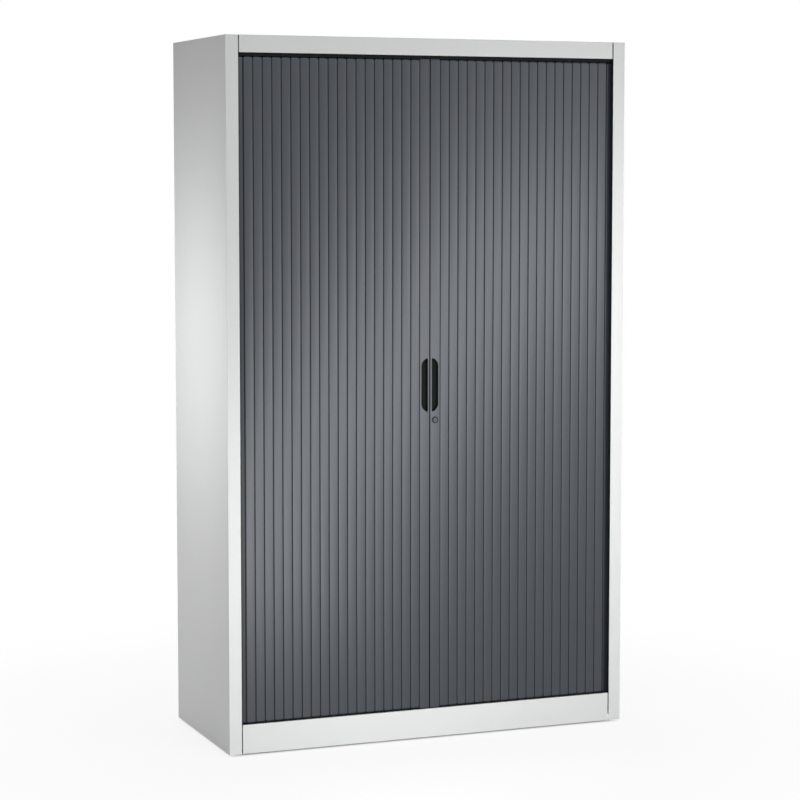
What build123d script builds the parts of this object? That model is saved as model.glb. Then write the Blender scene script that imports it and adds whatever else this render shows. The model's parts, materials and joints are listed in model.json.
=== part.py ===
"""Roll front tool cabinet: a steel carcass with two plastic roller curtains and four shelves.

Frame: +X to the right, the front faces -Y, +Z up, origin on the floor under the middle. Millimetres.
Each curtain is built on the right, running from the middle to the right and back along the side,
and mirrored for the left.
"""

from build123d import *
from math import atan2, cos, degrees, hypot, pi, radians, sin
import os

# ---- carcass ----
width = 1200.0
depth = 500.0
height = 1980.0
sheet = 1.0                  # thickness of every sheet-metal piece
lift = 6.0                   # from the floor to the lowest edge of the sheet metal
fit = 0.1                    # gap between pieces that are bolted, riveted or clipped together
running_fit = 0.05           # radial gap around what turns or screws
stile_width = 36.0           # front face of a side panel
stile_hem = 10.0             # edge of the stile folded flat onto its back
side_rear_flange = 20.0
seam = 3.0                   # between a stile and the rail or plinth beside it
rail_height = 47.0
plinth_top = 87.0            # top edge of the plinth above the floor
front_recess = 0.5           # faces of rail and plinth behind the faces of the stiles
lip_depth = 5.0              # edges of rail and plinth folded back at the opening and the ends
bend_radius = 0.9            # outside radius of the folded edges
plinth_foot_flange = 20.0
floor_height = 80.0          # top of the floor panel
ceiling_drop = 44.0          # from the top of the cabinet to the underside of the ceiling panel
deck_flange = 20.0           # folded edges of the floor, ceiling and top panels

# ---- inner walls and shelves ----
inner_wall_x = 552.0         # inner face of an inner side panel
inner_wall_front = 38.0      # from the front of the cabinet to the inner side panels
inner_wall_rear = 37.0       # from the rear of the cabinet to the inner side panels
inner_flange = 15.0
slot_pitch = 37.0
slots_per_shelf = 10         # slot pitches from one shelf to the next
shelf_count = 4
slot_width = 4.0
slot_height = 10.0
slot_inset = 40.0            # from the ends of an inner side panel to its slot rows
shelf_edge = 25.0            # folded edges of a shelf
shelf_side_gap = 2.5
shelf_end_gap = 1.0
clip_width = 16.0
clip_thickness = 1.5
clip_reach = 12.0            # clip's tab under the shelf
clip_leg = 14.0              # clip's leg up the inner side panel

# ---- curtains ----
curtain_setback = 10.0       # from the front of the cabinet to the faces of the slats
hinge_depth = 4.0            # from the face of a slat to its hinge line
side_inset = 14.0            # from the side of the cabinet to the hinge line along it
rear_inset = 18.0            # from the rear of the cabinet to the hinge line along it
corner_radius = 39.25        # of the hinge line
slat_pitch = 27.15
lead_pitch = 30.9            # from the middle of the cabinet to the hinge of a lead slat
middle_gap = 3.6             # between the lead slats
tail_slats = 4               # slats already round the corner when the curtain is closed
slat_thickness = 8.0
slat_crown = 0.6             # bulge of a slat's face
slat_edge_gap = 1.1          # from a hinge line to the edge of the slat's face
slat_wall = 1.4
slat_lip = 0.8               # thickness of the overhanging edge of a slat's face
slat_lip_reach = 0.9         # length of the edge over the socket
slat_end_gap = 1.2           # from the end of a slat to the legs of the track
bead_radius = 1.2
socket_gap = 0.2
socket_wall = 1.0
neck_thickness = 1.0
neck_length = 3.6
socket_front_angle = 24.0    # mouth of the socket, to the front and to the back of the neck
socket_back_angle = 65.0
end_plug_depth = 8.0         # how far a slat's end plug reaches into the slat
end_plug_length = 18.6
end_plug_thickness = 5.0
lead_thickness = 12.0
lead_wall = 1.5
lead_plug_depth = 20.0
lead_tongue_inset = 6.0
seal_thickness = 1.6
seal_front = 3.0             # from a lead slat's hinge line, to the front and the back
seal_back = 4.0

# ---- tracks ----
track_web = 2.0
track_wall = 2.0
channel_outside = 4.0        # from the hinge line to the channel's outer wall
channel_inside = 5.5
top_track_leg = 10.0
bottom_track_leg = 4.5
rear_track_length = 125.0
tongue_top_gap = 1.5
tongue_bottom_gap = 0.3
end_stop_length = 8.0
track_screw_spacing = 230.0
track_screw_inset = 60.0     # from the ends of a side track
track_screw_radius = 1.75
track_screw_head_radius = 3.5
track_screw_head = 1.0
track_screw_length = 8.0

# ---- grips and lock ----
grip_height = 155.0
grip_middle = 1012.2         # height of the middle of the grips
grip_end_radius = 25.7       # both grips together are a slot with round ends
grip_inner_edge = 5.9        # straight side of a grip from the middle of the cabinet
grip_corner = 3.0
grip_set_back = 0.5          # rim of a grip cup behind the face of its slat
grip_depth = 9.8
grip_wall = 1.5
lock_x = 15.9
lock_height = 912.7
lock_rim_radius = 9.5
lock_rim = 2.2
lock_barrel_radius = 8.0
lock_barrel_length = 17.0
plug_radius = 6.0
plug_proud = 0.3
keyhole_length = 8.0
keyhole_width = 2.0
keyhole_depth = 12.0
tenon_side = 6.0
lock_nut_flats = 22.0
lock_nut_thickness = 3.0
hook_thickness = 2.5
hook_hub_radius = 7.0
hook_arm_width = 8.0
hook_reach = 27.9
hook_nose_width = 3.0
hook_nose_drop = 10.0
hook_screw_radius = 2.0
hook_screw_head_radius = 4.0
hook_screw_head = 2.2
hook_screw_length = 8.0
keeper_sheet = 2.5
keeper_ear_x = 4.5           # keeper's ear from the middle of the cabinet
keeper_length = 21.5
keeper_height = 14.0
keeper_drop = 4.7            # from the lock's axis to the top of the keeper
keeper_screw_radius = 1.5
keeper_screw_head_radius = 3.0
keeper_screw_head = 1.8
keeper_screw_spacing = 8.0
keeper_screw_offset = 15.5   # from the middle of the cabinet to the middle of the two screws

# ---- feet ----
foot_side_inset = 42.0
foot_end_inset = 45.0
foot_pad_radius = 19.0
foot_pad_height = 5.0
foot_stem_radius = 5.0
foot_stem_top = 66.0
foot_nut_flats = 17.0
foot_nut_height = 8.0
bracket_height = 30.0        # underside of a bracket's plate above the floor
bracket_sheet = 3.0
bracket_width = 78.0
bracket_length = 70.0
bracket_flange = 26.0

# ---- fasteners of the carcass ----
rivet_spacing = 210.0
rivet_head_radius = 3.5
rivet_shank_radius = 2.0
rivet_shank = 3.0
rivet_edge = 8.0             # from the edge of a rear flange
stud_spacing = 400.0
stud_radius = 2.0
stud_length = 8.0
stud_nut_flats = 7.0
stud_nut_thickness = 3.2
panel_screw_radius = 2.5
panel_screw_head_radius = 4.5
panel_screw_head = 2.5
panel_screw_length = 6.0
panel_screw_inset = 60.0

# ---- places that follow from the sizes ----
half_width = width / 2
front = -depth / 2
rear = depth / 2
opening_x = half_width - stile_width
rail_x = opening_x - seam
rail_face = front + front_recess
rail_back = rail_face + sheet
rail_bottom = height - rail_height
ceiling_z = height - ceiling_drop
inner_front = front + inner_wall_front
inner_rear = rear - inner_wall_rear
deck_front = rail_face + lip_depth + fit
deck_rear = rear - sheet - rivet_shank - fit
deck_x = half_width - sheet - fit
hinge_front = front + curtain_setback + hinge_depth
hinge_side = half_width - side_inset
hinge_rear = rear - rear_inset
corner_x = hinge_side - corner_radius
corner_front = hinge_front + corner_radius
corner_rear = hinge_rear - corner_radius
top_leg_end = ceiling_z - track_web - top_track_leg
bottom_leg_end = floor_height + track_web + bottom_track_leg
slat_top = top_leg_end - slat_end_gap
slat_bottom = bottom_leg_end + slat_end_gap
tongue_top = ceiling_z - track_web - tongue_top_gap
tongue_bottom = floor_height + track_web + tongue_bottom_gap
lead_edge = middle_gap / 2
lead_back = hinge_front - hinge_depth + lead_thickness
slot_row_front = inner_front + slot_inset
slot_row_rear = inner_rear - slot_inset
foot_x = half_width - foot_side_inset
foot_y = depth / 2 - foot_end_inset


def save(piece, name):
    piece.label = name
    export_step(piece, f"parts/{name}.step")


def save_pair(right_piece, name):
    """Writes a piece made for the right-hand side, and its mirror image for the left."""
    save(mirror(right_piece, about=Plane.YZ), f"left_{name}")
    save(right_piece, f"right_{name}")


def block(x0, x1, y0, y1, z0, z1, mode=Mode.ADD):
    """A box between corners, inside the BuildPart that is open."""
    with Locations(((x0 + x1) / 2, (y0 + y1) / 2, (z0 + z1) / 2)):
        Box(x1 - x0, y1 - y0, z1 - z0, mode=mode)


def rod(x, y, z, radius, length, along=Axis.Z, mode=Mode.ADD):
    """A round bar from a point, along an axis, inside the BuildPart that is open."""
    with Locations(Plane(origin=(x, y, z), z_dir=along.direction)):
        Cylinder(radius, length, align=(Align.CENTER, Align.CENTER, Align.MIN), mode=mode)


# ---------------------------------------------------------------- carcass

def side_panel():
    """Outer wall with the front stile, whose edge is folded flat, and the rear flange."""
    stile_edge = half_width - stile_width
    with BuildPart() as panel:
        with BuildSketch(Plane.XY.offset(lift)):
            with BuildLine():
                Polyline(
                    (stile_edge, front),
                    (half_width, front),
                    (half_width, rear),
                    (half_width - side_rear_flange, rear),
                    (half_width - side_rear_flange, rear - sheet),
                    (half_width - sheet, rear - sheet),
                    (half_width - sheet, front + sheet),
                    (stile_edge + stile_hem, front + sheet),
                    (stile_edge + stile_hem, front + 2 * sheet),
                    (stile_edge, front + 2 * sheet),
                    close=True,
                )
            make_face()
        extrude(amount=height - lift)
        bends = panel.edges().filter_by(Axis.Z)
        fillet(bends.group_by(Axis.X)[-1], bend_radius)
        fillet(panel.edges().filter_by(Axis.Z).group_by(Axis.X)[0], bend_radius)
        for z in rivet_heights():
            rod(rivet_x(), rear, z, rivet_head_radius + fit, sheet, -Axis.Y, Mode.SUBTRACT)
    return panel.part


def rivet_x():
    return half_width - side_rear_flange + rivet_edge


def rivet_heights():
    """Heights of the rivets of the back panel, spread about its middle."""
    middle = (lift + height) / 2
    count = int((height - lift - 2 * deck_flange) / rivet_spacing) + 1
    return [middle + (i - (count - 1) / 2) * rivet_spacing for i in range(count)]


def back_panel():
    panel_y = rear - 2 * sheet - fit
    with BuildPart() as panel:
        block(-deck_x, deck_x, panel_y, panel_y + sheet, lift + sheet, height - 2 * sheet)
        for z in rivet_heights():
            for x in (-rivet_x(), rivet_x()):
                rod(x, rear, z, rivet_shank_radius + fit, 3 * sheet, -Axis.Y, Mode.SUBTRACT)
    return panel.part


def back_panel_rivets():
    """Flush blind rivets: a head in the flange and a shank through the back panel."""
    with BuildPart() as rivets:
        for z in rivet_heights():
            for x in (-rivet_x(), rivet_x()):
                rod(x, rear, z, rivet_head_radius, sheet, -Axis.Y)
                rod(x, rear - sheet, z, rivet_shank_radius, rivet_shank, -Axis.Y)
    return rivets.part


def front_strip(low, high, lip_z, flange_z, flange_depth):
    """The top rail or the plinth: a face with folded ends, a lip at the opening and a flange."""
    with BuildPart() as strip:
        block(-rail_x, rail_x, rail_face, rail_back, low, high)
        block(-rail_x, sheet - rail_x, rail_face, rail_face + lip_depth, low, high)
        block(rail_x - sheet, rail_x, rail_face, rail_face + lip_depth, low, high)
        block(-rail_x, rail_x, rail_face, rail_face + lip_depth, lip_z, lip_z + sheet)
        block(-rail_x, rail_x, rail_face, rail_face + flange_depth, flange_z, flange_z + sheet)
        fillet(strip.faces().sort_by(Axis.Y)[0].edges(), bend_radius)
    return strip.part


def deck(top, down):
    """The floor, ceiling or top panel: a plate notched round the stiles, with folded edges."""
    bottom = top - sheet
    tongue_x = rail_x - sheet - fit
    flange_low, flange_high = (top - deck_flange, top) if down else (bottom, bottom + deck_flange)
    with BuildPart() as panel:
        with BuildSketch(Plane.XY.offset(bottom)):
            with Locations((0, (deck_front + deck_rear) / 2)):
                Rectangle(2 * deck_x, deck_rear - deck_front)
            with Locations((0, (rail_back + deck_front) / 2)):
                Rectangle(2 * tongue_x, deck_front - rail_back)
        extrude(amount=sheet)
        block(-tongue_x, tongue_x, rail_back, rail_back + sheet, flange_low, flange_high)
        for side in (-1, 1):
            inner, outer = sorted((side * (deck_x - sheet), side * deck_x))
            block(inner, outer, deck_front, deck_rear, flange_low, flange_high)
    return panel.part


def top_panel():
    """The top: its plate reaches over the rail and the back panel, and is folded down behind."""
    flange_x = half_width - side_rear_flange - fit
    with BuildPart() as panel:
        add(deck(height, down=True))
        block(-rail_x, rail_x, rail_back, rail_back + sheet, height - deck_flange,
              height - sheet, Mode.SUBTRACT)
        block(-rail_x, rail_x, rail_face, rail_back + sheet, height - sheet, height)
        block(-deck_x, deck_x, front + 2 * sheet + fit, deck_front, height - sheet, height)
        block(-deck_x, deck_x, deck_rear, rear - sheet - fit, height - sheet, height)
        block(-flange_x, flange_x, rear - sheet - fit, rear, height - sheet, height)
        block(-flange_x, flange_x, rear - sheet, rear, height - deck_flange, height)
    return panel.part


def stud_places():
    """Places (x, z) of the studs on the backs of the rail and the plinth."""
    low = floor_height - deck_flange / 2
    high = ceiling_z + deck_flange / 2
    return [(x, z) for x in (-stud_spacing, 0, stud_spacing) for z in (low, high)]


def bored(piece, places, radius, along, length):
    """A piece with round holes from each place along an axis."""
    with BuildPart() as drilled:
        add(piece)
        for x, y, z in places:
            rod(x, y, z, radius, length, along, Mode.SUBTRACT)
    return drilled.part


def front_fixing_nuts():
    """Weld studs on the backs of the rail and plinth, each with its nut behind the deck flange."""
    with BuildPart() as nuts:
        for x, z in stud_places():
            rod(x, rail_back, z, stud_radius, stud_length, Axis.Y)
            behind = rail_back + sheet + fit
            with BuildSketch(Plane(origin=(x, behind, z), z_dir=(0, 1, 0))):
                RegularPolygon(stud_nut_flats / 2, 6, major_radius=False)
            extrude(amount=stud_nut_thickness)
    return nuts.part


def build_carcass():
    save_pair(side_panel(), "side_panel")
    save(back_panel(), "back_panel")
    save(back_panel_rivets(), "back_panel_rivets")
    flange_top = height - sheet
    rail = front_strip(rail_bottom, flange_top, rail_bottom, flange_top - sheet, plinth_foot_flange)
    save(rail, "top_rail")
    plinth = front_strip(lift, plinth_top, plinth_top - sheet, lift, plinth_foot_flange)
    save(plinth, "plinth")
    save(top_panel(), "top_panel")
    stud_holes = [(x, rail_back, z) for x, z in stud_places()]
    floor_holes = [(x, y, floor_height - sheet) for x, y in panel_screw_places()]
    floor = bored(deck(floor_height, down=True), stud_holes, stud_radius + fit, Axis.Y, sheet)
    floor = bored(floor, floor_holes, panel_screw_radius + fit, Axis.Z, sheet)
    track_holes = [(x, y, floor_height - sheet) for x, y in track_screw_places()]
    save(bored(floor, track_holes, track_screw_radius + fit, Axis.Z, sheet), "floor_panel")
    ceiling = bored(deck(ceiling_z + sheet, down=False), stud_holes, stud_radius + fit, Axis.Y, sheet)
    ceiling_holes = [(x, y, ceiling_z) for x, y in panel_screw_places()]
    ceiling = bored(ceiling, ceiling_holes, panel_screw_radius + fit, Axis.Z, sheet)
    track_holes = [(x, y, ceiling_z) for x, y in track_screw_places()]
    save(bored(ceiling, track_holes, track_screw_radius + fit, Axis.Z, sheet), "ceiling_panel")
    save(front_fixing_nuts(), "front_fixing_nuts")


# ---------------------------------------------------------------- inner walls and shelves

def shelf_top(i):
    """Top of shelf i, counted from 1 at the bottom."""
    return floor_height + i * slots_per_shelf * slot_pitch


def clip_top(i):
    return shelf_top(i) - shelf_edge - fit


def slot_heights():
    """Middles of the slots; one lies behind each shelf clip."""
    first = clip_top(1) - clip_thickness - slot_height / 2 - slot_pitch * slots_per_shelf
    heights = []
    z = first
    while z < ceiling_z - 2 * inner_flange:
        if z > floor_height + 2 * inner_flange:
            heights.append(z)
        z += slot_pitch
    return heights


def panel_screw_places():
    """Screws through the inner side panels' bottom and top flanges."""
    x = inner_wall_x + sheet + (inner_flange - sheet) / 2
    ys = (inner_front + panel_screw_inset, inner_rear - panel_screw_inset)
    return [(side * x, y) for side in (-1, 1) for y in ys]


def inner_side_panel():
    """Wall between the shelves and the curtain's pocket, folded to the pocket all round."""
    edge = inner_wall_x + inner_flange
    with BuildPart() as panel:
        block(inner_wall_x, edge, inner_front, inner_rear, floor_height, ceiling_z)
        block(inner_wall_x + sheet, edge, inner_front + sheet, inner_rear - sheet,
              floor_height + sheet, ceiling_z - sheet, Mode.SUBTRACT)
        fillet(panel.edges().filter_by(Axis.Z).group_by(Axis.X)[0], bend_radius)
        for y in (slot_row_front, slot_row_rear):
            for z in slot_heights():
                block(inner_wall_x, inner_wall_x + sheet, y - slot_width / 2, y + slot_width / 2,
                      z - slot_height / 2, z + slot_height / 2, Mode.SUBTRACT)
        for x, y in panel_screw_places():
            if x > 0:
                rod(x, y, floor_height, panel_screw_radius + fit, sheet, Axis.Z, Mode.SUBTRACT)
                rod(x, y, ceiling_z, panel_screw_radius + fit, sheet, -Axis.Z, Mode.SUBTRACT)
    return panel.part


def inner_panel_screws():
    with BuildPart() as screws:
        for x, y in panel_screw_places():
            rod(x, y, floor_height + sheet, panel_screw_head_radius, panel_screw_head)
            rod(x, y, floor_height + sheet, panel_screw_radius, panel_screw_length, -Axis.Z)
            rod(x, y, ceiling_z - sheet, panel_screw_head_radius, panel_screw_head, -Axis.Z)
            rod(x, y, ceiling_z - sheet, panel_screw_radius, panel_screw_length)
    return screws.part


def inner_back_panel():
    """Wall behind the shelves, which lies over the rear flanges of the inner side panels."""
    reach = inner_wall_x + inner_flange
    with BuildPart() as panel:
        block(-reach, reach, inner_rear + fit, inner_rear + fit + sheet,
              floor_height + fit, ceiling_z - fit)
    return panel.part


def shelf(i):
    """A plate with its four edges folded down."""
    x = inner_wall_x - shelf_side_gap
    y0 = inner_front + sheet + shelf_end_gap
    y1 = inner_rear - sheet - shelf_end_gap
    top = shelf_top(i)
    with BuildPart() as tray:
        block(-x, x, y0, y1, top - shelf_edge, top)
        block(-x + sheet, x - sheet, y0 + sheet, y1 - sheet, top - shelf_edge, top - sheet,
              Mode.SUBTRACT)
        fillet(tray.edges().filter_by(Axis.X).group_by(Axis.Z)[-1], bend_radius)
    return tray.part


def shelf_clips():
    """Bent clips: a tab under the shelf, a leg up the wall and a tongue through the wall's slot."""
    wall = inner_wall_x - fit
    with BuildPart() as clips:
        for i in range(1, shelf_count + 1):
            top = clip_top(i)
            bottom = top - clip_thickness
            slot_middle = bottom - slot_height / 2
            for y in (slot_row_front, slot_row_rear):
                y0 = y - clip_width / 2
                y1 = y + clip_width / 2
                block(wall - clip_reach, wall, y0, y1, bottom, top)
                block(wall - clip_thickness, wall, y0, y1, bottom - clip_leg, top)
                tongue_half = slot_width / 2 - fit
                tongue_rise = slot_height / 2 - fit
                block(wall - clip_thickness, inner_wall_x + 2 * sheet, y - tongue_half,
                      y + tongue_half, slot_middle - tongue_rise, slot_middle + tongue_rise)
        mirror(about=Plane.YZ)
    return clips.part


def build_inside():
    save_pair(inner_side_panel(), "inner_panel")
    save(inner_panel_screws(), "inner_panel_screws")
    save(inner_back_panel(), "inner_back_panel")
    for i in range(1, shelf_count + 1):
        save(shelf(i), f"shelf_{i}")
    save(shelf_clips(), "shelf_clips")


# ---------------------------------------------------------------- tracks

def front_ribbon(outside, inside):
    """Plan of the front track between the two corners, for walls so far from the hinge line."""
    with Locations((0, hinge_front + (inside - outside) / 2)):
        Rectangle(2 * corner_x - 2 * fit, outside + inside)


def corner_ribbon(outside, inside):
    """Plan of the four quarter rings round the corners."""
    ring = corner_radius + outside
    for x_side in (-1, 1):
        for y_side, y in ((-1, corner_front), (1, corner_rear)):
            with BuildSketch(Plane.XY, mode=Mode.PRIVATE) as quarter:
                with Locations((x_side * corner_x, y)):
                    Circle(ring)
                    Circle(corner_radius - inside, mode=Mode.SUBTRACT)
                with Locations((x_side * (corner_x + ring / 2), y + y_side * ring / 2)):
                    Rectangle(ring, ring, mode=Mode.INTERSECT)
            add(quarter.sketch)


def side_ribbon(outside, inside):
    for side in (-1, 1):
        x = side * (hinge_side + (outside - inside) / 2)
        with Locations((x, (corner_front + corner_rear) / 2)):
            Rectangle(outside + inside, corner_rear - corner_front - 2 * fit)


def rear_ribbon(outside, inside):
    for side in (-1, 1):
        x = side * (corner_x - fit - rear_track_length / 2)
        with Locations((x, hinge_rear + (outside - inside) / 2)):
            Rectangle(rear_track_length, outside + inside)


def track(ribbon, low, high, channel_low, channel_high):
    """A U-shaped track: the ribbon between its outer faces, less the channel the slats run in."""
    with BuildPart() as rail:
        with BuildSketch(Plane.XY.offset(low)):
            ribbon(channel_outside + track_wall, channel_inside + track_wall)
        extrude(amount=high - low)
        with BuildSketch(Plane.XY.offset(channel_low)):
            ribbon(channel_outside, channel_inside)
        extrude(amount=channel_high - channel_low, mode=Mode.SUBTRACT)
    return rail.part


def track_screw_places():
    """Screws along the front track and near the ends of the side tracks."""
    steps = int(corner_x / track_screw_spacing)
    along_front = [(i * track_screw_spacing, hinge_front) for i in range(-steps, steps + 1)]
    ends = (corner_front + track_screw_inset, corner_rear - track_screw_inset)
    along_sides = [(side * hinge_side, y) for side in (-1, 1) for y in ends]
    return along_front + along_sides


def screwed_track(rail, z, along):
    """A track with holes for its screws, whose heads sink into the web from the channel."""
    with BuildPart() as drilled:
        add(rail)
        for x, y in track_screw_places():
            rod(x, y, z, track_screw_radius + fit, track_web, along, Mode.SUBTRACT)
            rod(x, y, z, track_screw_head_radius + fit, track_screw_head, along, Mode.SUBTRACT)
    return drilled.part


def track_screws():
    top = ceiling_z - track_web
    bottom = floor_height + track_web
    with BuildPart() as screws:
        for x, y in track_screw_places():
            for z, along in ((top, Axis.Z), (bottom, -Axis.Z)):
                rod(x, y, z, track_screw_head_radius, track_screw_head, along)
                rod(x, y, z, track_screw_radius, track_screw_length, along)
    return screws.part


def track_end_stops():
    """Blocks in the ends of the rear tracks, where the tail of an open curtain stops."""
    x = corner_x - fit - rear_track_length
    y0 = hinge_rear - channel_inside + fit
    y1 = hinge_rear + channel_outside - fit
    with BuildPart() as stops:
        block(x, x + end_stop_length, y0, y1, top_leg_end, ceiling_z - track_web - fit)
        block(x, x + end_stop_length, y0, y1, floor_height + track_web + fit, bottom_leg_end)
        mirror(about=Plane.YZ)
    return stops.part


def build_tracks():
    ribbons = (("front", front_ribbon), ("corner", corner_ribbon), ("side", side_ribbon),
               ("rear", rear_ribbon))
    for name, ribbon in ribbons:
        suffix = "track" if name == "front" else "tracks"
        top = track(ribbon, top_leg_end, ceiling_z, top_leg_end, ceiling_z - track_web)
        bottom = track(ribbon, floor_height, bottom_leg_end, floor_height + track_web, bottom_leg_end)
        if name in ("front", "side"):
            top = screwed_track(top, ceiling_z - track_web, Axis.Z)
            bottom = screwed_track(bottom, floor_height + track_web, -Axis.Z)
        save(top, f"top_{name}_{suffix}")
        save(bottom, f"bottom_{name}_{suffix}")
    save(track_screws(), "track_screws")
    save(track_end_stops(), "track_end_stops")


# ---------------------------------------------------------------- curtains

def hinge_line(s):
    """Point on the hinge line at a distance s from the middle of the cabinet."""
    corner_length = corner_radius * pi / 2
    if s <= corner_x:
        return s, hinge_front
    if s <= corner_x + corner_length:
        turn = (s - corner_x) / corner_radius
        return corner_x + corner_radius * sin(turn), corner_front - corner_radius * cos(turn)
    return hinge_side, corner_front + s - corner_x - corner_length


def next_hinge(s):
    """Distance of the next hinge along the line, one slat pitch away as the crow flies."""
    x0, y0 = hinge_line(s)
    low = s + slat_pitch
    high = s + 1.5 * slat_pitch
    for _ in range(50):
        middle = (low + high) / 2
        x1, y1 = hinge_line(middle)
        if hypot(x1 - x0, y1 - y0) < slat_pitch:
            low = middle
        else:
            high = middle
    return high


def slat_places():
    """Where each plain slat's first hinge lies and how far the slat is turned."""
    front_count = int((corner_x - lead_pitch) / slat_pitch + 0.001)
    s = lead_pitch
    places = []
    for _ in range(front_count + tail_slats):
        far = next_hinge(s)
        x0, y0 = hinge_line(s)
        x1, y1 = hinge_line(far)
        places.append(Location((x0, y0, 0), (0, 0, degrees(atan2(y1 - y0, x1 - x0)))))
        s = far
    return places[:front_count], places[front_count:]


def bead(hinge):
    """The neck and bead that a slat holds in the next slat's socket, in plan."""
    with Locations((hinge - neck_length / 2, 0)):
        Rectangle(neck_length + 2 * fit, neck_thickness)
    with Locations((hinge, 0)):
        Circle(bead_radius)


def slat_outline(start, body_start, pitch, back):
    """Convex face, flat back and overhanging edges of a slat that ends at the next hinge."""
    edge = slat_crown - hinge_depth
    face_end = pitch - slat_edge_gap
    body_end = pitch - neck_length
    lip = edge + slat_lip
    points = [(face_end, lip), (body_end, lip), (body_end, back), (body_start, back)]
    if body_start > start:
        root = edge + 1.5 * slat_lip
        points += [(body_start, root), (start, root)]
    with BuildLine() as outline:
        face = ThreePointArc((start, edge), ((start + face_end) / 2, -hinge_depth), (face_end, edge))
        Polyline(face @ 1, *points, face @ 0)
    make_face(outline.edges())


def slat():
    """One plain slat at the origin: its socket's hinge at X 0, its bead one pitch further on."""
    socket_radius = bead_radius + socket_gap
    socket_outside = socket_radius + socket_wall
    body_start = slat_edge_gap + slat_lip_reach
    back = slat_thickness - hinge_depth
    chamber_start = socket_outside + slat_wall
    chamber_end = slat_pitch - neck_length - slat_wall
    chamber_front = slat_crown - hinge_depth + slat_wall
    chamber_back = back - slat_wall
    mouth = 2 * socket_outside
    plug_middle = (chamber_start + chamber_end) / 2
    with BuildPart() as piece:
        with BuildSketch(Plane.XY.offset(slat_bottom)):
            slat_outline(slat_edge_gap, body_start, slat_pitch, back)
            Circle(socket_outside)
            Circle(socket_radius, mode=Mode.SUBTRACT)
            front_turn = radians(180 + socket_front_angle)
            middle_turn = radians(180 + (socket_front_angle - socket_back_angle) / 2)
            back_turn = radians(180 - socket_back_angle)
            Polygon(
                (0, 0),
                (mouth * cos(front_turn), mouth * sin(front_turn)),
                (1.5 * mouth * cos(middle_turn), 1.5 * mouth * sin(middle_turn)),
                (mouth * cos(back_turn), mouth * sin(back_turn)),
                align=None, mode=Mode.SUBTRACT)
            bead(slat_pitch)
            with Locations((plug_middle, (chamber_front + chamber_back) / 2)):
                Rectangle(chamber_end - chamber_start, chamber_back - chamber_front,
                          mode=Mode.SUBTRACT)
        extrude(amount=slat_top - slat_bottom)
        x0 = plug_middle - end_plug_length / 2
        x1 = plug_middle + end_plug_length / 2
        y1 = end_plug_thickness / 2
        block(x0, x1, -y1, y1, slat_top - end_plug_depth, tongue_top)
        block(x0, x1, -y1, y1, tongue_bottom, slat_bottom + end_plug_depth)
    return piece.part


def slats(places):
    one = slat()
    with BuildPart() as curtain:
        with Locations(*places):
            add(one)
    return curtain.part


def grip_outline(shrink):
    """One half of the grips' round-ended slot, to the right of the middle, on a vertical plane."""
    with BuildSketch(Plane.XY, mode=Mode.PRIVATE) as half:
        SlotOverall(grip_height, 2 * grip_end_radius, rotation=90)
        with Locations((grip_inner_edge - grip_end_radius, 0)):
            Rectangle(2 * grip_end_radius, 2 * grip_height, mode=Mode.SUBTRACT)
        fillet(half.vertices().group_by(Axis.X)[0], grip_corner)
        if shrink:
            offset(amount=-shrink)
    return half.sketch


def grip_plane(y):
    """Vertical plane at the height of the grips, with X to the right and Z up."""
    return Plane(origin=(0, y, grip_middle), x_dir=(1, 0, 0), z_dir=(0, -1, 0))


def lead_slat(lock_hole):
    """Hollow end slat of the right-hand curtain, open for its grip cup, with the last bead."""
    back = lead_thickness - hinge_depth
    chamber_front = slat_crown - hinge_depth + slat_wall
    chamber_back = back - lead_wall
    chamber_end = lead_pitch - neck_length - lead_wall
    face_y = hinge_front - hinge_depth
    with BuildPart() as piece:
        with BuildSketch(Plane(origin=(0, hinge_front, slat_bottom))):
            slat_outline(lead_edge, lead_edge, lead_pitch, back)
            bead(lead_pitch)
            with Locations(((lead_edge + lead_wall + chamber_end) / 2,
                            (chamber_front + chamber_back) / 2)):
                Rectangle(chamber_end - lead_edge - lead_wall, chamber_back - chamber_front,
                          mode=Mode.SUBTRACT)
        extrude(amount=slat_top - slat_bottom)
        with BuildSketch(grip_plane(face_y - 1)):
            add(grip_outline(0))
        extrude(amount=-(hinge_depth + chamber_front + 1), mode=Mode.SUBTRACT)
        if lock_hole:
            rod(lock_x, face_y - 1, lock_height, lock_barrel_radius + fit, lead_thickness + 2,
                Axis.Y, Mode.SUBTRACT)
        else:
            for x, y, z in keeper_screw_places():
                rod(-x, y - 4, z, keeper_screw_radius + fit, 8, Axis.Y, Mode.SUBTRACT)
    return piece.part


def lead_glides():
    """Plugs in the ends of a lead slat, whose tongues run in the tracks."""
    chamber_front = hinge_front + slat_crown - hinge_depth + slat_wall + fit
    chamber_back = lead_back - lead_wall - fit
    x0 = lead_edge + lead_wall + fit
    x1 = lead_pitch - neck_length - lead_wall - fit
    tongue_x0 = lead_edge + lead_tongue_inset
    tongue_x1 = lead_pitch - lead_tongue_inset
    y0 = hinge_front - end_plug_thickness / 2
    y1 = hinge_front + end_plug_thickness / 2
    with BuildPart() as glides:
        block(x0, x1, chamber_front, chamber_back, slat_top - lead_plug_depth, slat_top)
        block(tongue_x0, tongue_x1, y0, y1, slat_top, tongue_top)
        block(x0, x1, chamber_front, chamber_back, slat_bottom, slat_bottom + lead_plug_depth)
        block(tongue_x0, tongue_x1, y0, y1, tongue_bottom, slat_bottom)
    return glides.part


def closing_seal():
    """Soft strip on the edge of a lead slat, which meets the other one in the middle."""
    with BuildPart() as seal:
        block(lead_edge - seal_thickness, lead_edge, hinge_front - seal_front,
              hinge_front + seal_back, slat_bottom, slat_top)
        fillet(seal.edges().filter_by(Axis.Z).group_by(Axis.X)[0], seal_thickness / 2)
    return seal.part


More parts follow.
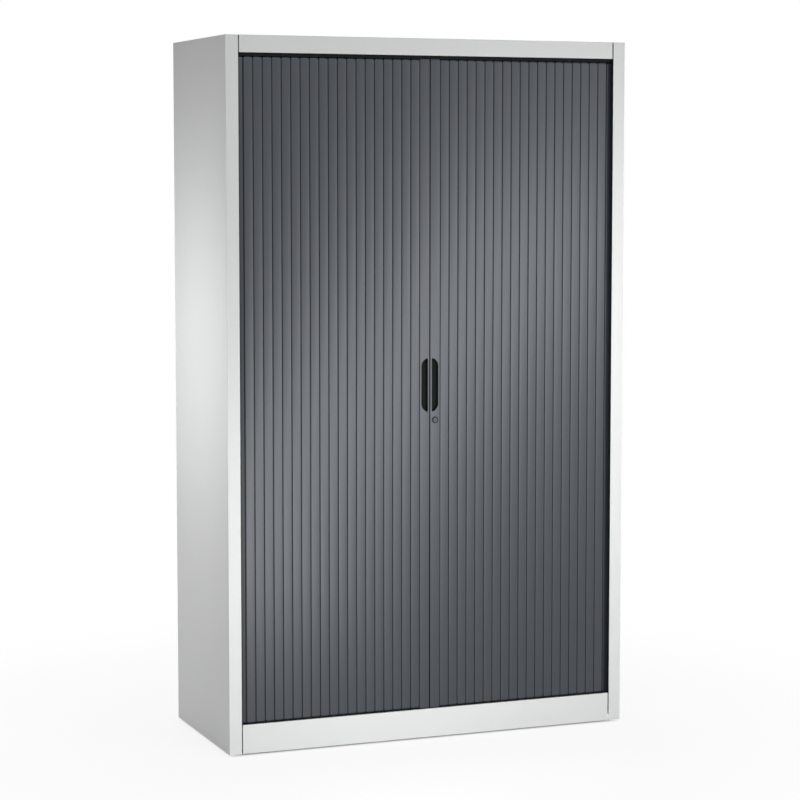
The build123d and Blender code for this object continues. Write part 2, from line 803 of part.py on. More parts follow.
def grip_cup():
    """Recessed finger pull in a lead slat."""
    rim = hinge_front - hinge_depth + grip_set_back
    with BuildPart() as cup:
        with BuildSketch(grip_plane(rim)):
            add(grip_outline(fit))
        extrude(amount=-grip_depth)
        with BuildSketch(grip_plane(rim)):
            add(grip_outline(fit + grip_wall))
        extrude(amount=-(grip_depth - grip_wall), mode=Mode.SUBTRACT)
    return cup.part


def build_curtains():
    front_places, tail_places = slat_places()
    save_pair(slats(front_places), "front_slats")
    save_pair(slats(tail_places), "tail_slats")
    save(lead_slat(lock_hole=True), "right_lead_slat")
    save(mirror(lead_slat(lock_hole=False), about=Plane.YZ), "left_lead_slat")
    save_pair(lead_glides(), "lead_glides")
    save_pair(closing_seal(), "closing_seal")
    save_pair(grip_cup(), "grip_cup")


# ---------------------------------------------------------------- lock

def lock_housing():
    """Barrel through the right-hand lead slat, with a rim on the slat's face."""
    face_y = hinge_front - hinge_depth
    with BuildPart() as housing:
        rod(lock_x, face_y - fit, lock_height, lock_rim_radius, lock_rim, -Axis.Y)
        fillet(housing.edges().filter_by(GeomType.CIRCLE).group_by(Axis.Y)[0], lock_rim / 3)
        rod(lock_x, face_y - fit, lock_height, lock_barrel_radius, lock_barrel_length, Axis.Y)
        rod(lock_x, face_y - lock_rim - fit, lock_height, plug_radius + running_fit,
            lock_rim + lock_barrel_length, Axis.Y, Mode.SUBTRACT)
    return housing.part


def lock_nut():
    with BuildPart() as nut:
        with BuildSketch(Plane(origin=(lock_x, lead_back + fit, lock_height), z_dir=(0, 1, 0))):
            RegularPolygon(lock_nut_flats / 2, 6, major_radius=False, rotation=30)
            Circle(lock_barrel_radius + running_fit, mode=Mode.SUBTRACT)
        extrude(amount=lock_nut_thickness)
    return nut.part


def plug_end():
    """Rear face of the plug's round part, where the hook is seated."""
    return hinge_front - hinge_depth - fit + lock_barrel_length + 2 * fit


def lock_plug():
    """Turning core of the lock, with the keyhole in front and a square tenon behind."""
    plug_front = hinge_front - hinge_depth - fit - lock_rim - plug_proud
    end = plug_end()
    with BuildPart() as plug:
        rod(lock_x, plug_front, lock_height, plug_radius, end - plug_front, Axis.Y)
        fillet(plug.edges().filter_by(GeomType.CIRCLE).group_by(Axis.Y)[0], plug_proud)
        block(lock_x - keyhole_length / 2, lock_x + keyhole_length / 2, plug_front,
              plug_front + keyhole_depth, lock_height - keyhole_width / 2,
              lock_height + keyhole_width / 2, Mode.SUBTRACT)
        half = tenon_side / 2
        block(lock_x - half, lock_x + half, end, end + hook_thickness, lock_height - half,
              lock_height + half)
        rod(lock_x, end + hook_thickness, lock_height, hook_screw_radius + fit,
            hook_screw_length + fit, -Axis.Y, Mode.SUBTRACT)
    return plug.part


def lock_hook():
    """Hook on the plug's tenon: it points up when unlocked and reaches over the keeper when locked."""
    y = plug_end() + fit
    half = tenon_side / 2 + fit
    plane = Plane(origin=(lock_x, y, lock_height), x_dir=(1, 0, 0), z_dir=(0, -1, 0))
    with BuildPart() as hook:
        with BuildSketch(plane):
            Circle(hook_hub_radius)
            with Locations((0, hook_reach / 2)):
                Rectangle(hook_arm_width, hook_reach)
            with Locations((-hook_nose_drop / 2, hook_reach - hook_nose_width / 2)):
                Rectangle(hook_nose_drop, hook_nose_width)
            Rectangle(2 * half, 2 * half, mode=Mode.SUBTRACT)
        extrude(amount=-(hook_thickness - fit))
    return hook.part


def hook_screw():
    y = plug_end() + hook_thickness + fit
    with BuildPart() as screw:
        rod(lock_x, y, lock_height, hook_screw_head_radius, hook_screw_head, Axis.Y)
        rod(lock_x, y, lock_height, hook_screw_radius, hook_screw_length, -Axis.Y)
    return screw.part


def keeper_screw_places():
    half = keeper_screw_spacing / 2
    z = lock_height - keeper_drop - keeper_height / 2
    return [(-keeper_screw_offset + side * half, lead_back, z) for side in (-1, 1)]


def lock_keeper():
    """Angle on the back of the left-hand lead slat, whose ear the hook reaches over."""
    top = lock_height - keeper_drop
    plate_y = lead_back + fit
    ear_end = plug_end() + hook_thickness
    with BuildPart() as keeper:
        block(-keeper_ear_x - keeper_length, -keeper_ear_x, plate_y, plate_y + keeper_sheet,
              top - keeper_height, top)
        block(-keeper_ear_x - keeper_sheet, -keeper_ear_x, plate_y, ear_end,
              top - keeper_height, top)
        for x, y, z in keeper_screw_places():
            rod(x, y - 1, z, keeper_screw_radius + fit, keeper_sheet + 2, Axis.Y, Mode.SUBTRACT)
    return keeper.part


def keeper_screws():
    with BuildPart() as screws:
        for x, y, z in keeper_screw_places():
            head_y = y + 2 * fit + keeper_sheet
            rod(x, head_y, z, keeper_screw_head_radius, keeper_screw_head, Axis.Y)
            rod(x, head_y, z, keeper_screw_radius, keeper_sheet + lead_wall + 2, -Axis.Y)
    return screws.part


def build_lock():
    save(lock_housing(), "lock_housing")
    save(lock_nut(), "lock_nut")
    save(lock_plug(), "lock_plug")
    save(lock_hook(), "lock_hook")
    save(hook_screw(), "hook_screw")
    save(lock_keeper(), "lock_keeper")
    save(keeper_screws(), "keeper_screws")


# ---------------------------------------------------------------- feet

def foot(x, y):
    """Levelling foot: a pad moulded on a screw."""
    with BuildPart() as piece:
        rod(x, y, 0, foot_pad_radius, foot_pad_height)
        fillet(piece.edges().filter_by(GeomType.CIRCLE).group_by(Axis.Z)[-1], foot_pad_height / 3)
        rod(x, y, 0, foot_stem_radius, foot_stem_top)
    return piece.part


def foot_places():
    return [(x_side * foot_x, y_side * foot_y) for x_side in (-1, 1) for y_side in (-1, 1)]


def foot_nuts():
    with BuildPart() as nuts:
        for x, y in foot_places():
            with BuildSketch(Plane(origin=(x, y, bracket_height + bracket_sheet))):
                RegularPolygon(foot_nut_flats / 2, 6, major_radius=False)
                Circle(foot_stem_radius + running_fit, mode=Mode.SUBTRACT)
            extrude(amount=foot_nut_height)
    return nuts.part


def foot_brackets():
    """Angles on the side panels that carry the levelling feet."""
    wall = half_width - sheet - fit
    with BuildPart() as brackets:
        for x, y in foot_places():
            side = 1 if x > 0 else -1
            x0, x1 = sorted((side * (wall - bracket_width), side * wall))
            y0 = y - bracket_length / 2
            y1 = y + bracket_length / 2
            block(x0, x1, y0, y1, bracket_height, bracket_height + bracket_sheet)
            x0, x1 = sorted((side * (wall - bracket_sheet), side * wall))
            block(x0, x1, y0, y1, bracket_height, bracket_height + bracket_flange)
            rod(x, y, bracket_height, foot_stem_radius + running_fit, bracket_sheet, Axis.Z,
                Mode.SUBTRACT)
    return brackets.part


def build_feet():
    names = ("left_front_foot", "left_rear_foot", "right_front_foot", "right_rear_foot")
    for name, (x, y) in zip(names, foot_places()):
        save(foot(x, y), name)
    save(foot_nuts(), "foot_nuts")
    save(foot_brackets(), "foot_brackets")


os.makedirs("parts", exist_ok=True)
build_carcass()
build_inside()
build_tracks()
build_curtains()
build_lock()
build_feet()
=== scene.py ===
"""Looks of the roll front tool cabinet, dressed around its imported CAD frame. Metres, +Z up."""

import bmesh
import bpy
import json
from math import atan2, cos, hypot, pi, radians, sin, sqrt
from mathutils import Matrix, Quaternion, Vector


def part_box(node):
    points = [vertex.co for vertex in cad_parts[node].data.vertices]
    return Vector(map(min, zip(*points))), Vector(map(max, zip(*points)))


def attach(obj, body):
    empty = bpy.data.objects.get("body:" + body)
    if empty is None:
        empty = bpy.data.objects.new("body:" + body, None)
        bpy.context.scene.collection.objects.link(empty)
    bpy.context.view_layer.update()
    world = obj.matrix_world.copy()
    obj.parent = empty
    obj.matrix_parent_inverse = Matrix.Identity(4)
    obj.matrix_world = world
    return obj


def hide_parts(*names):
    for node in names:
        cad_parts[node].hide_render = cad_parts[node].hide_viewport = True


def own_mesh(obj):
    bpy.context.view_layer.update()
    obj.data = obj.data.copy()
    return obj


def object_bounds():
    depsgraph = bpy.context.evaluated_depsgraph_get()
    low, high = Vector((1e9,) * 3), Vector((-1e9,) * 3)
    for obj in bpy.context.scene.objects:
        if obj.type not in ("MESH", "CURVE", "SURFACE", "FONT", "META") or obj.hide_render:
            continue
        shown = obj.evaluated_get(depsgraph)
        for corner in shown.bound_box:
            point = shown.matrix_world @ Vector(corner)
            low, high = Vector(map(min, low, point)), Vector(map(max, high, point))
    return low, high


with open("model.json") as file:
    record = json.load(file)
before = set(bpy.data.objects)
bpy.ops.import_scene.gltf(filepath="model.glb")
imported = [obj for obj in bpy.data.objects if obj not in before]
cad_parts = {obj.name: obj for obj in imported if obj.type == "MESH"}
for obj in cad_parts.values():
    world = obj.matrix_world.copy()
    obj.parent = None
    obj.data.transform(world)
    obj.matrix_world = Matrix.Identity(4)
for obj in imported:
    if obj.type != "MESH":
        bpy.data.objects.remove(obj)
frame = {"nodes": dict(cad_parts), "record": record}
nodes = frame["nodes"]
cad_low, cad_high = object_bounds()
MM = 0.001

# ---- sizes of the slats: the frame's pitch and hinge line, with wider and softer grooves ----
SLAT_PITCH = 27.15 * MM
SLAT_CROWN = 0.6 * MM        # how far the middle of the face stands before its edges
SLAT_EDGE_GAP = 1.25 * MM    # half of the groove between two slats
SLAT_LIP = 0.8 * MM
HINGE_DEPTH = 4.0 * MM       # hinge line behind the middle of the face
BARREL_RADIUS = 2.1 * MM
NECK_LENGTH = 3.6 * MM
BODY_START = 2.0 * MM
SLAT_BACK = 4.0 * MM
EDGE_ROUND = 0.7 * MM
SHOULDER = 3.2 * MM          # radius of a slat's end corners
END_PLUG_HALF = 9.3 * MM
END_PLUG_BACK = 2.5 * MM
SLAT_LEFT = SLAT_EDGE_GAP
SLAT_RIGHT = SLAT_PITCH - SLAT_EDGE_GAP
FACE_EDGE = SLAT_CROWN - HINGE_DEPTH
BODY_END = SLAT_PITCH - NECK_LENGTH
LIP_STEP = FACE_EDGE + 1.5 * SLAT_LIP
POINT_SLACK = 0.01 * MM      # tells points on the rounded edge from those behind it

# ---- fineness of the slats' outline, and its angles in degrees ----
FACE_STEPS = 14
BARREL_STEPS = 18
ROUND_STEPS = 4
BARREL_ANGLES = (34, 295)
EDGE_TURN = 72
SMOOTH_ANGLE = 35

# ---- path of the curtains ----
LEAD_BEAD = 1.2 * MM         # radius of the lead slat's bead
CORNER_GAP = 0.1 * MM        # from the end of the front track to the start of the corner
CORNER_RADIUS = 39.25 * MM
TAIL_COUNT = 4               # slats round the corner and behind it
CHORD_SEARCH = (0.999, 1.3)  # limits of a slat's way along the path, in pitches
CHORD_HALVINGS = 40


# ---------------------------------------------------------------- materials

NOISE_LOW, NOISE_HIGH = 0.3, 0.7      # where most of a noise texture's values lie


def new_material(name):
    """A material with its node tree and its shader."""
    material = bpy.data.materials.new(name)
    material.use_nodes = True
    tree = material.node_tree
    shader = tree.nodes["Principled BSDF"]
    return material, tree, shader


def object_coords(tree, scale=(1, 1, 1)):
    """Texture coordinates fixed to the piece at rest, in metres, stretched by scale."""
    coords = tree.nodes.new("ShaderNodeTexCoord")
    mapping = tree.nodes.new("ShaderNodeMapping")
    mapping.inputs["Scale"].default_value = scale
    tree.links.new(coords.outputs["Object"], mapping.inputs["Vector"])
    return mapping.outputs["Vector"]


def noise(tree, vector, scale, detail=2.0, roughness=0.5):
    """Noise of 0..1."""
    node = tree.nodes.new("ShaderNodeTexNoise")
    node.inputs["Scale"].default_value = scale
    node.inputs["Detail"].default_value = detail
    node.inputs["Roughness"].default_value = roughness
    tree.links.new(vector, node.inputs["Vector"])
    return node.outputs["Fac"]


def combine(tree, operation, first, second):
    """Result of a math node on two outputs."""
    node = tree.nodes.new("ShaderNodeMath")
    node.operation = operation
    tree.links.new(first, node.inputs[0])
    tree.links.new(second, node.inputs[1])
    return node.outputs[0]


def map_range(tree, value, source, target, interpolation="LINEAR"):
    """Maps a value from one range to another, held at the ends."""
    node = tree.nodes.new("ShaderNodeMapRange")
    node.interpolation_type = interpolation
    node.inputs["From Min"].default_value, node.inputs["From Max"].default_value = source
    node.inputs["To Min"].default_value, node.inputs["To Max"].default_value = target
    tree.links.new(value, node.inputs["Value"])
    return node.outputs["Result"]


def spread(tree, value, low, high):
    """Maps noise to low..high."""
    return map_range(tree, value, (NOISE_LOW, NOISE_HIGH), (low, high))


def tint(tree, value, dark, light):
    """Colour between dark and light by a noise value."""
    ramp = tree.nodes.new("ShaderNodeValToRGB")
    ramp.color_ramp.elements[0].position = NOISE_LOW
    ramp.color_ramp.elements[1].position = NOISE_HIGH
    ramp.color_ramp.elements[0].color = (*dark, 1)
    ramp.color_ramp.elements[1].color = (*light, 1)
    tree.links.new(value, ramp.inputs["Fac"])
    return ramp.outputs["Color"]


def bump(tree, shader, height, strength, distance):
    """Relief in a shader's normal."""
    node = tree.nodes.new("ShaderNodeBump")
    node.inputs["Strength"].default_value = strength
    node.inputs["Distance"].default_value = distance
    tree.links.new(height, node.inputs["Height"])
    tree.links.new(node.outputs["Normal"], shader.inputs["Normal"])


def powder_coat(name, colour, roughness=0.5):
    """Smooth powder coat: fine orange peel and very slight cloudiness."""
    material, tree, shader = new_material(name)
    vector = object_coords(tree)
    clouds = noise(tree, vector, 3.0, 3.0)
    dark = tuple(c * 0.985 for c in colour)
    light = tuple(min(1, c * 1.012) for c in colour)
    tree.links.new(tint(tree, clouds, dark, light), shader.inputs["Base Color"])
    grain = noise(tree, vector, 260.0, 2.0)
    tree.links.new(spread(tree, grain, roughness - 0.04, roughness + 0.05), shader.inputs["Roughness"])
    bump(tree, shader, noise(tree, vector, 620.0, 2.0, 0.6), 0.10, 0.0006)
    shader.inputs["Specular IOR Level"].default_value = 0.4
    return material


def slat_plastic(name, colour):
    """Satin extruded plastic: faint draw lines along the slat and soft variation of gloss."""
    material, tree, shader = new_material(name)
    lines = noise(tree, object_coords(tree, (900, 900, 2.5)), 1.0, 2.0)
    clouds = noise(tree, object_coords(tree, (14, 14, 3)), 1.0, 3.0)
    dark = tuple(c * 0.93 for c in colour)
    light = tuple(c * 1.06 for c in colour)
    tree.links.new(tint(tree, clouds, dark, light), shader.inputs["Base Color"])
    tree.links.new(spread(tree, lines, 0.36, 0.44), shader.inputs["Roughness"])
    bump(tree, shader, lines, 0.08, 0.0003)
    shader.inputs["Specular IOR Level"].default_value = 0.7
    shader.inputs["Specular Tint"].default_value = (0.93, 0.965, 1.0, 1)
    return material


def moulded_plastic(name, colour, roughness=0.5, gloss=0.25):
    """Spark-eroded black plastic: fine grain in relief and gloss."""
    material, tree, shader = new_material(name)
    vector = object_coords(tree)
    grain = noise(tree, vector, 900.0, 3.0, 0.6)
    dark = tuple(c * 0.85 for c in colour)
    light = tuple(c * 1.2 for c in colour)
    tree.links.new(tint(tree, noise(tree, vector, 60.0, 2.0), dark, light), shader.inputs["Base Color"])
    tree.links.new(spread(tree, grain, roughness - 0.06, roughness + 0.08), shader.inputs["Roughness"])
    bump(tree, shader, grain, 0.25, 0.0004)
    shader.inputs["Specular IOR Level"].default_value = gloss
    return material


def rubber(name):
    """Matt black rubber, drawn out along its length."""
    material, tree, shader = new_material(name)
    vector = object_coords(tree, (1, 1, 0.2))
    dark, light = (0.004, 0.005, 0.005), (0.008, 0.009, 0.009)
    tree.links.new(tint(tree, noise(tree, vector, 150.0), dark, light), shader.inputs["Base Color"])
    tree.links.new(spread(tree, noise(tree, vector, 500.0), 0.6, 0.75), shader.inputs["Roughness"])
    bump(tree, shader, noise(tree, vector, 700.0), 0.2, 0.0003)
    shader.inputs["Specular IOR Level"].default_value = 0.08
    return material


def plated_metal(name, colour, roughness, brush=(300, 300, 300)):
    """Plated or turned metal: fine brushing and slightly clouded gloss."""
    material, tree, shader = new_material(name)
    shader.inputs["Metallic"].default_value = 1.0
    brushed = noise(tree, object_coords(tree, brush), 1.0, 3.0)
    clouds = noise(tree, object_coords(tree), 45.0, 3.0)
    dark = tuple(c * 0.86 for c in colour)
    light = tuple(min(1, c * 1.08) for c in colour)
    tree.links.new(tint(tree, clouds, dark, light), shader.inputs["Base Color"])
    tree.links.new(spread(tree, brushed, roughness - 0.06, roughness + 0.1), shader.inputs["Roughness"])
    bump(tree, shader, brushed, 0.12, 0.0002)
    return material


def make_materials():
    """Every finish by its slot's name, and a darker matt one for the slats' grooves, which is painted shade
    of the gaps between slats.
    """
    return {
        "carcass_paint": powder_coat("light_grey_powder_coat", (0.753, 0.765, 0.757)),
        "inner_paint": powder_coat("light_grey_inner_coat", (0.733, 0.745, 0.737), 0.54),
        "rivet_paint": powder_coat("light_grey_rivet_coat", (0.66, 0.675, 0.667), 0.44),
        "slat_plastic": slat_plastic("anthracite_slat", (0.017, 0.0205, 0.027)),
        # Painted shade: this darker, less glossy plastic goes in the grooves between slats and stands in for
        # the shade of the gaps.
        "groove_painted_shade": moulded_plastic("painted_shade_slat_groove", (0.013, 0.017, 0.019), 0.7, 0.3),
        "track_plastic": moulded_plastic("black_track", (0.005, 0.007, 0.007), 0.7, 0.12),
        "grip_plastic": moulded_plastic("black_grip", (0.006, 0.009, 0.0085), 0.75, 0.1),
        "stop_rubber": rubber("black_rubber"),
        "lock_chrome": plated_metal("black_nickel_lock", (0.018, 0.019, 0.02), 0.3),
        "lock_core_metal": plated_metal("dark_nickel_core", (0.06, 0.062, 0.064), 0.34),
        "zinc_steel": plated_metal("zinc_plated_steel", (0.60, 0.61, 0.62), 0.38, (120, 120, 120)),
        "foot_plastic": moulded_plastic("black_foot", (0.02, 0.02, 0.02), 0.6),
    }


def dress_frame(materials):
    """Gives every CAD node the material of its slot."""
    for part in frame["record"]["subparts"]:
        data = nodes[part["node"]].data
        data.materials.clear()
        data.materials.append(materials[part["material_slot"]])


# ---------------------------------------------------------------- slats

def arc(cx, cy, radius, start, end, steps):
    """Points of an arc, angles in degrees."""
    angles = [radians(start + (end - start) * i / steps) for i in range(steps + 1)]
    return [(cx + radius * cos(a), cy + radius * sin(a)) for a in angles]


def barrel_profile():
    """Outline of the hinge barrel at the origin, open towards its own slat."""
    return arc(0, 0, BARREL_RADIUS, *BARREL_ANGLES, BARREL_STEPS)


def slat_profile(with_barrel=True):
    """Plan outline of a plain slat: +X towards the next hinge, +Y to the back, hinge at the origin."""
    face = []
    for i in range(FACE_STEPS + 1):
        t = i / FACE_STEPS
        u = SLAT_LEFT + EDGE_ROUND + (SLAT_RIGHT - SLAT_LEFT - 2 * EDGE_ROUND) * t
        face.append((u, -HINGE_DEPTH + SLAT_CROWN * (2 * t - 1) ** 2))
    round_y = FACE_EDGE + EDGE_ROUND
    right_round = arc(SLAT_RIGHT - EDGE_ROUND, round_y, EDGE_ROUND, -EDGE_TURN, 0, ROUND_STEPS)
    left_round = arc(SLAT_LEFT + EDGE_ROUND, round_y, EDGE_ROUND, 180, 180 + EDGE_TURN, ROUND_STEPS)
    lip_back = FACE_EDGE + SLAT_LIP
    neck_side = [(SLAT_RIGHT, lip_back), (BODY_END, lip_back)]
    back = [(BODY_END, SLAT_BACK), (BODY_START, SLAT_BACK)]
    hinge_side = barrel_profile() if with_barrel else [(BODY_START, LIP_STEP)]
    return face + right_round + neck_side + back + hinge_side + [(SLAT_LEFT, LIP_STEP)] + left_round


def shoulder_drop(u):
    """How far a slat's rounded end corner lies below its end, at a distance u along its face."""
    inside = min(max(u, SLAT_LEFT), SLAT_RIGHT)
    from_edge = min(inside - SLAT_LEFT, SLAT_RIGHT - inside)
    short = SHOULDER - from_edge
    return SHOULDER - sqrt(SHOULDER ** 2 - short ** 2) if short > 0 else 0.0


def in_painted_shade_groove(a, b):
    """Whether the side between two points of the outline lies in the groove between slats, where the painted
    shade goes.
    """
    deep = min(a[1], b[1]) > FACE_EDGE + EDGE_ROUND - POINT_SLACK
    outer = max(a[0], b[0]) <= BODY_START or min(a[0], b[0]) >= BODY_END
    return deep and outer


def add_extrusion(mesh, points, levels):
    """A closed solid over an outline; each level gives the height of each of its points."""
    rings = [[mesh.verts.new((x, y, height(x))) for x, y in points] for height in levels]
    count = len(points)
    for low, high in zip(rings, rings[1:]):
        for i in range(count):
            j = (i + 1) % count
            side = mesh.faces.new((low[i], low[j], high[j], high[i]))
            # Sides in the groove take the second material, which is painted shade of the gap between slats.
            side.material_index = int(in_painted_shade_groove(points[i], points[j]))
    mesh.faces.new(list(reversed(rings[0])))
    mesh.faces.new(rings[-1])


def slat_levels(bottom, top):
    """Heights of a slat's rings of points, with its rounded end corners."""
    return [
        lambda u: bottom + shoulder_drop(u),
        lambda u: bottom + 2 * SHOULDER,
        lambda u: top - 2 * SHOULDER,
        lambda u: top - shoulder_drop(u),
    ]


def barrel_mesh(bottom, top):
    """A hinge barrel by itself at the origin."""
    mesh = bmesh.new()
    add_extrusion(mesh, barrel_profile(), slat_levels(bottom, top))
    bmesh.ops.recalc_face_normals(mesh, faces=mesh.faces)
    return mesh


def slat_mesh(bottom, top, tongue_bottom, tongue_top, with_barrel=True):
    """One plain slat at the origin, with the tongues of its end plugs."""
    mesh = bmesh.new()
    add_extrusion(mesh, slat_profile(with_barrel), slat_levels(bottom, top))
    middle = SLAT_PITCH / 2
    plug = [(middle - END_PLUG_HALF, -END_PLUG_BACK), (middle + END_PLUG_HALF, -END_PLUG_BACK),
            (middle + END_PLUG_HALF, END_PLUG_BACK), (middle - END_PLUG_HALF, END_PLUG_BACK)]
    add_extrusion(mesh, plug, [lambda u: tongue_bottom, lambda u: bottom])
    add_extrusion(mesh, plug, [lambda u: top, lambda u: tongue_top])
    bmesh.ops.recalc_face_normals(mesh, faces=mesh.faces)
    return mesh


def placed_copies(sources_at):
    """One mesh of several pairs of a source mesh and its place, a matrix."""
    whole = bmesh.new()
    for source, place in sources_at:
        offset = len(whole.verts)
        for v in source.verts:
            whole.verts.new(place @ v.co)
        whole.verts.ensure_lookup_table()
        flip = place.determinant() < 0
        for f in source.faces:
            corners = [whole.verts[offset + v.index] for v in f.verts]
            copy = whole.faces.new(reversed(corners) if flip else corners)
            copy.material_index = f.material_index
    return whole


def object_from(mesh, name, finishes):
    """Object of a bmesh, shaded smooth where faces meet at less than the smooth angle."""
    data = bpy.data.meshes.new(name)
    for e in mesh.edges:
        e.smooth = len(e.link_faces) == 2 and e.calc_face_angle(pi) < radians(SMOOTH_ANGLE)
    for f in mesh.faces:
        f.smooth = True
    mesh.to_mesh(data)
    mesh.free()
    for finish in finishes:
        data.materials.append(finish)
    piece = bpy.data.objects.new(name, data)
    bpy.context.scene.collection.objects.link(piece)
    return piece


def hinge_places(front_count, lead_hinge, corner, hinge_y):
    """Places of the right-hand plain slats: across the front, then round the corner and back.

    Each slat is a chord of the path, one pitch long; halving finds where along the path it ends.
    """
    radius = CORNER_RADIUS
    arc_length = radius * pi / 2

    def point(s):
        if s <= corner:
            return s, hinge_y
        if s <= corner + arc_length:
            turn = (s - corner) / radius
            return corner + radius * sin(turn), hinge_y + radius - radius * cos(turn)
        return corner + radius, hinge_y + radius + s - corner - arc_length

    places = []
    s = lead_hinge
    for _ in range(front_count + TAIL_COUNT):
        x0, y0 = point(s)
        low, high = (s + SLAT_PITCH * limit for limit in CHORD_SEARCH)
        for _ in range(CHORD_HALVINGS):
            mid = (low + high) / 2
            x1, y1 = point(mid)
            if hypot(x1 - x0, y1 - y0) < SLAT_PITCH:
                low = mid
            else:
                high = mid
        x1, y1 = point(high)
        places.append(Matrix.Translation((x0, y0, 0)) @ Matrix.Rotation(atan2(y1 - y0, x1 - x0), 4, "Z"))
        s = high
    return places[:front_count], places[front_count:]


def make_slats(materials):
    """Detailed slats in place of the frame's plain ones, on both sides.

    As a curtain opens, its front slats are squashed towards the lead slat's hinge.
    """
    low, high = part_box("right_lead_slat")
    tongue_low, tongue_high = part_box("right_front_slats")
    lead_hinge = high.x - LEAD_BEAD
    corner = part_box("top_front_track")[1].x + CORNER_GAP
    hinge_y = low.y + HINGE_DEPTH
    front_count = round((corner - lead_hinge) / SLAT_PITCH)
    front_places, tail_places = hinge_places(front_count, lead_hinge, corner, hinge_y)
    ends = (low.z, high.z, tongue_low.z, tongue_high.z)
    plain = slat_mesh(*ends)
    first_tail = slat_mesh(*ends, with_barrel=False)
    # The barrel at the corner hinge belongs to the moving slats, so that they gather clear of the corner.
    end_barrel = barrel_mesh(low.z, high.z)
    front_parts = [(plain, p) for p in front_places] + [(end_barrel, tail_places[0])]
    tail_parts = [(first_tail, tail_places[0])] + [(plain, p) for p in tail_places[1:]]
    flip = Matrix.Scale(-1, 4, (1, 0, 0))
    # The second finish is painted shade for the grooves between slats.
    finishes = [materials["slat_plastic"], materials["groove_painted_shade"]]
    for side, mirror in (("right", Matrix.Identity(4)), ("left", flip)):
        front = object_from(placed_copies([(part, mirror @ p) for part, p in front_parts]),
                            f"{side}_curtain_slats", finishes)
        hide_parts(f"{side}_front_slats")
        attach(front, f"{side}_curtain")
        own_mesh(front)
        tail = object_from(placed_copies([(part, mirror @ p) for part, p in tail_parts]),
                           f"{side}_corner_slats", finishes)
        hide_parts(f"{side}_tail_slats")
        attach(tail, "carcass")
    for source in (plain, first_tail, end_barrel):
        source.free()


# ---------------------------------------------------------------- stage, lights and camera

CAMERA_PLACE = (-2.5615, -6.4897, 1.6251)
CAMERA_YAW = 0.3765          # radians to the right of straight ahead
CAMERA_PITCH = -0.0868       # radians, down
CAMERA_SHIFT = -0.03         # share of the picture
PICTURE = 800                # pixels
FOCAL_PIXELS = 2405.9
SLANT = 38                   # degrees by which the two main softboxes are turned
FILL_LIGHT = 0.08            # strength of the backdrop as a light
FLOOR_HALF = 30
SHADOW_REACH = (0.6, 1.9)    # from the cabinet's middle, where the floor's shadow fades out
SHADOW_GLOW = (0.86, 1.0)    # share of the backdrop's white in that shadow and beyond it
FOOTPRINT_EDGE = (0.9, 1.0)  # share of the cabinet's half sizes where the glow begins


def make_camera():
    """Long lens from the front left, a little above the middle."""
    data = bpy.data.cameras.new("camera")
    data.sensor_width = 36.0
    data.lens = data.sensor_width * FOCAL_PIXELS / PICTURE
    data.shift_y = CAMERA_SHIFT
    data.clip_end = 100.0
    camera = bpy.data.objects.new("camera", data)
    camera.location = CAMERA_PLACE
    camera.rotation_euler = (pi / 2 + CAMERA_PITCH, 0, -CAMERA_YAW)
    bpy.context.scene.collection.objects.link(camera)
    bpy.context.scene.camera = camera


def area_light(name, place, target, width, height, power, roll=0.0):
    """Softbox that faces its target, unseen by the camera; roll turns it in its own plane, in degrees."""
    data = bpy.data.lights.new(name, "AREA")
    data.shape = "RECTANGLE"
    data.size = width
    data.size_y = height
    data.energy = power
    light = bpy.data.objects.new(name, data)
    light.location = place
    facing = (Vector(target) - Vector(place)).to_track_quat("-Z", "Y")
    light.rotation_euler = (facing @ Quaternion((0, 0, 1), radians(roll))).to_euler()
    light.visible_camera = False
    bpy.context.scene.collection.objects.link(light)


def make_lights():
    """Two slanting softboxes before the curtains, smaller ones round them, and one for each other side."""
    area_light("front_far", (0.6, -2.0, 0.9), (0.6, 0, 0.9), 2.6, 1.0, 14.7, roll=SLANT)
    area_light("front_near", (0.3, -1.1, 1.05), (0.3, 0, 1.05), 1.5, 0.45, 4.8, roll=SLANT)
    area_light("front_low", (-0.33, -1.1, 0.45), (-0.33, 0, 0.45), 0.6, 0.5, 2.9)
    area_light("front_high", (-1.2, -1.6, 2.6), (-0.5, -0.2, 1.7), 0.8, 0.8, 6.5)
    area_light("front_top", (0.2, -1.8, 3.2), (0.1, -0.2, 1.9), 1.6, 0.5, 6.0)
    area_light("front_right", (3.8, -3.2, 1.3), (0.3, -0.2, 1.1), 1.5, 1.5, 18)
    area_light("left_side", (-1.3, 0.05, 1.15), (0, 0.05, 1.15), 0.4, 0.6, 4.25)
    area_light("left_low", (-1.5, 0.3, 0.3), (-0.6, 0.1, 0.3), 0.4, 0.4, 1.0)
    area_light("right_side", (2.4, 0.3, 1.2), (0.6, 0, 1.05), 1.0, 1.4, 13)
    area_light("rear", (0.3, 2.6, 1.5), (0.1, 0.25, 1.05), 1.6, 1.2, 29)
    area_light("overhead", (0, 0.2, 4.4), (0, 0, 1.98), 1.6, 1.2, 40)


def seen_directly(tree):
    """1 for camera, glossy and transmission rays, else 0."""
    path = tree.nodes.new("ShaderNodeLightPath")
    total = path.outputs["Is Camera Ray"]
    for name in ("Is Glossy Ray", "Is Transmission Ray"):
        total = combine(tree, "MAXIMUM", total, path.outputs[name])
    return total


def make_world():
    """A backdrop that is seen as pure white, and gives little light."""
    world = bpy.data.worlds.new("studio")
    world.use_nodes = True
    bpy.context.scene.world = world
    tree = world.node_tree
    background = tree.nodes["Background"]
    mix = tree.nodes.new("ShaderNodeMix")
    tree.links.new(seen_directly(tree), mix.inputs["Factor"])
    mix.inputs["A"].default_value = FILL_LIGHT
    mix.inputs["B"].default_value = 1.0
    tree.links.new(mix.outputs["Result"], background.inputs["Strength"])
    background.inputs["Color"].default_value = (1, 1, 1, 1)


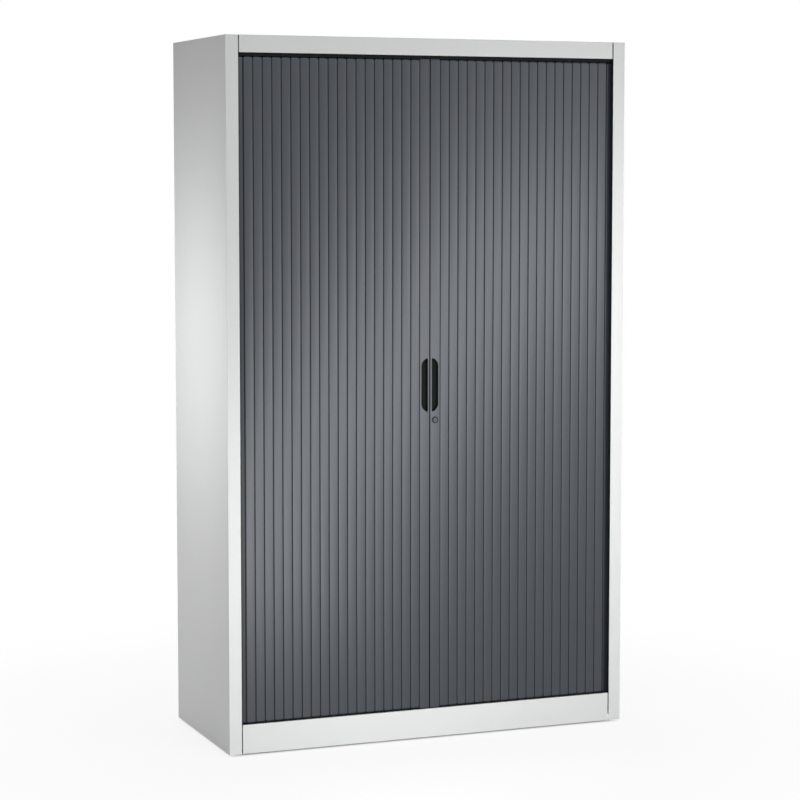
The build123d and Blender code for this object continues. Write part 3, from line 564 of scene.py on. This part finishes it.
def outside_footprint(tree):
    """0 on the floor deep under the cabinet, 1 from its edges on."""
    inside = tree.nodes.new("ShaderNodeVectorMath")
    inside.operation = "ABSOLUTE"
    per_half_size = (1 / cad_high.x, 1 / cad_high.y, 0)
    tree.links.new(object_coords(tree, per_half_size), inside.inputs[0])
    parts = tree.nodes.new("ShaderNodeSeparateXYZ")
    tree.links.new(inside.outputs["Vector"], parts.inputs["Vector"])
    farthest = combine(tree, "MAXIMUM", parts.outputs["X"], parts.outputs["Y"])
    return map_range(tree, farthest, FOOTPRINT_EDGE, (0, 1))


def make_floor():
    """White floor. To the eye it glows as white as the backdrop, but for a faint shadow near the cabinet."""
    mesh = bmesh.new()
    bmesh.ops.create_grid(mesh, x_segments=1, y_segments=1, size=FLOOR_HALF)
    data = bpy.data.meshes.new("floor")
    mesh.to_mesh(data)
    mesh.free()
    floor = bpy.data.objects.new("floor", data)
    bpy.context.scene.collection.objects.link(floor)
    material, tree, shader = new_material("studio_floor")
    shader.inputs["Roughness"].default_value = 0.9
    shader.inputs["Specular IOR Level"].default_value = 0.1
    shader.inputs["Base Color"].default_value = (0.85, 0.85, 0.85, 1)
    glow = tree.nodes.new("ShaderNodeEmission")
    glow.inputs["Color"].default_value = (1, 1, 1, 1)
    distance = tree.nodes.new("ShaderNodeVectorMath")
    distance.operation = "LENGTH"
    tree.links.new(object_coords(tree), distance.inputs[0])
    glow_share = map_range(tree, distance.outputs["Value"], SHADOW_REACH, SHADOW_GLOW, "SMOOTHSTEP")
    share = combine(tree, "MULTIPLY", seen_directly(tree), glow_share)
    open_share = combine(tree, "MULTIPLY", share, outside_footprint(tree))
    mix = tree.nodes.new("ShaderNodeMixShader")
    tree.links.new(open_share, mix.inputs["Fac"])
    tree.links.new(shader.outputs["BSDF"], mix.inputs[1])
    tree.links.new(glow.outputs["Emission"], mix.inputs[2])
    tree.links.new(mix.outputs["Shader"], tree.nodes["Material Output"].inputs["Surface"])
    data.materials.append(material)


make_camera()
materials = make_materials()
dress_frame(materials)
make_slats(materials)
make_lights()
make_world()
make_floor()
bpy.context.scene.view_settings.view_transform = "Standard"
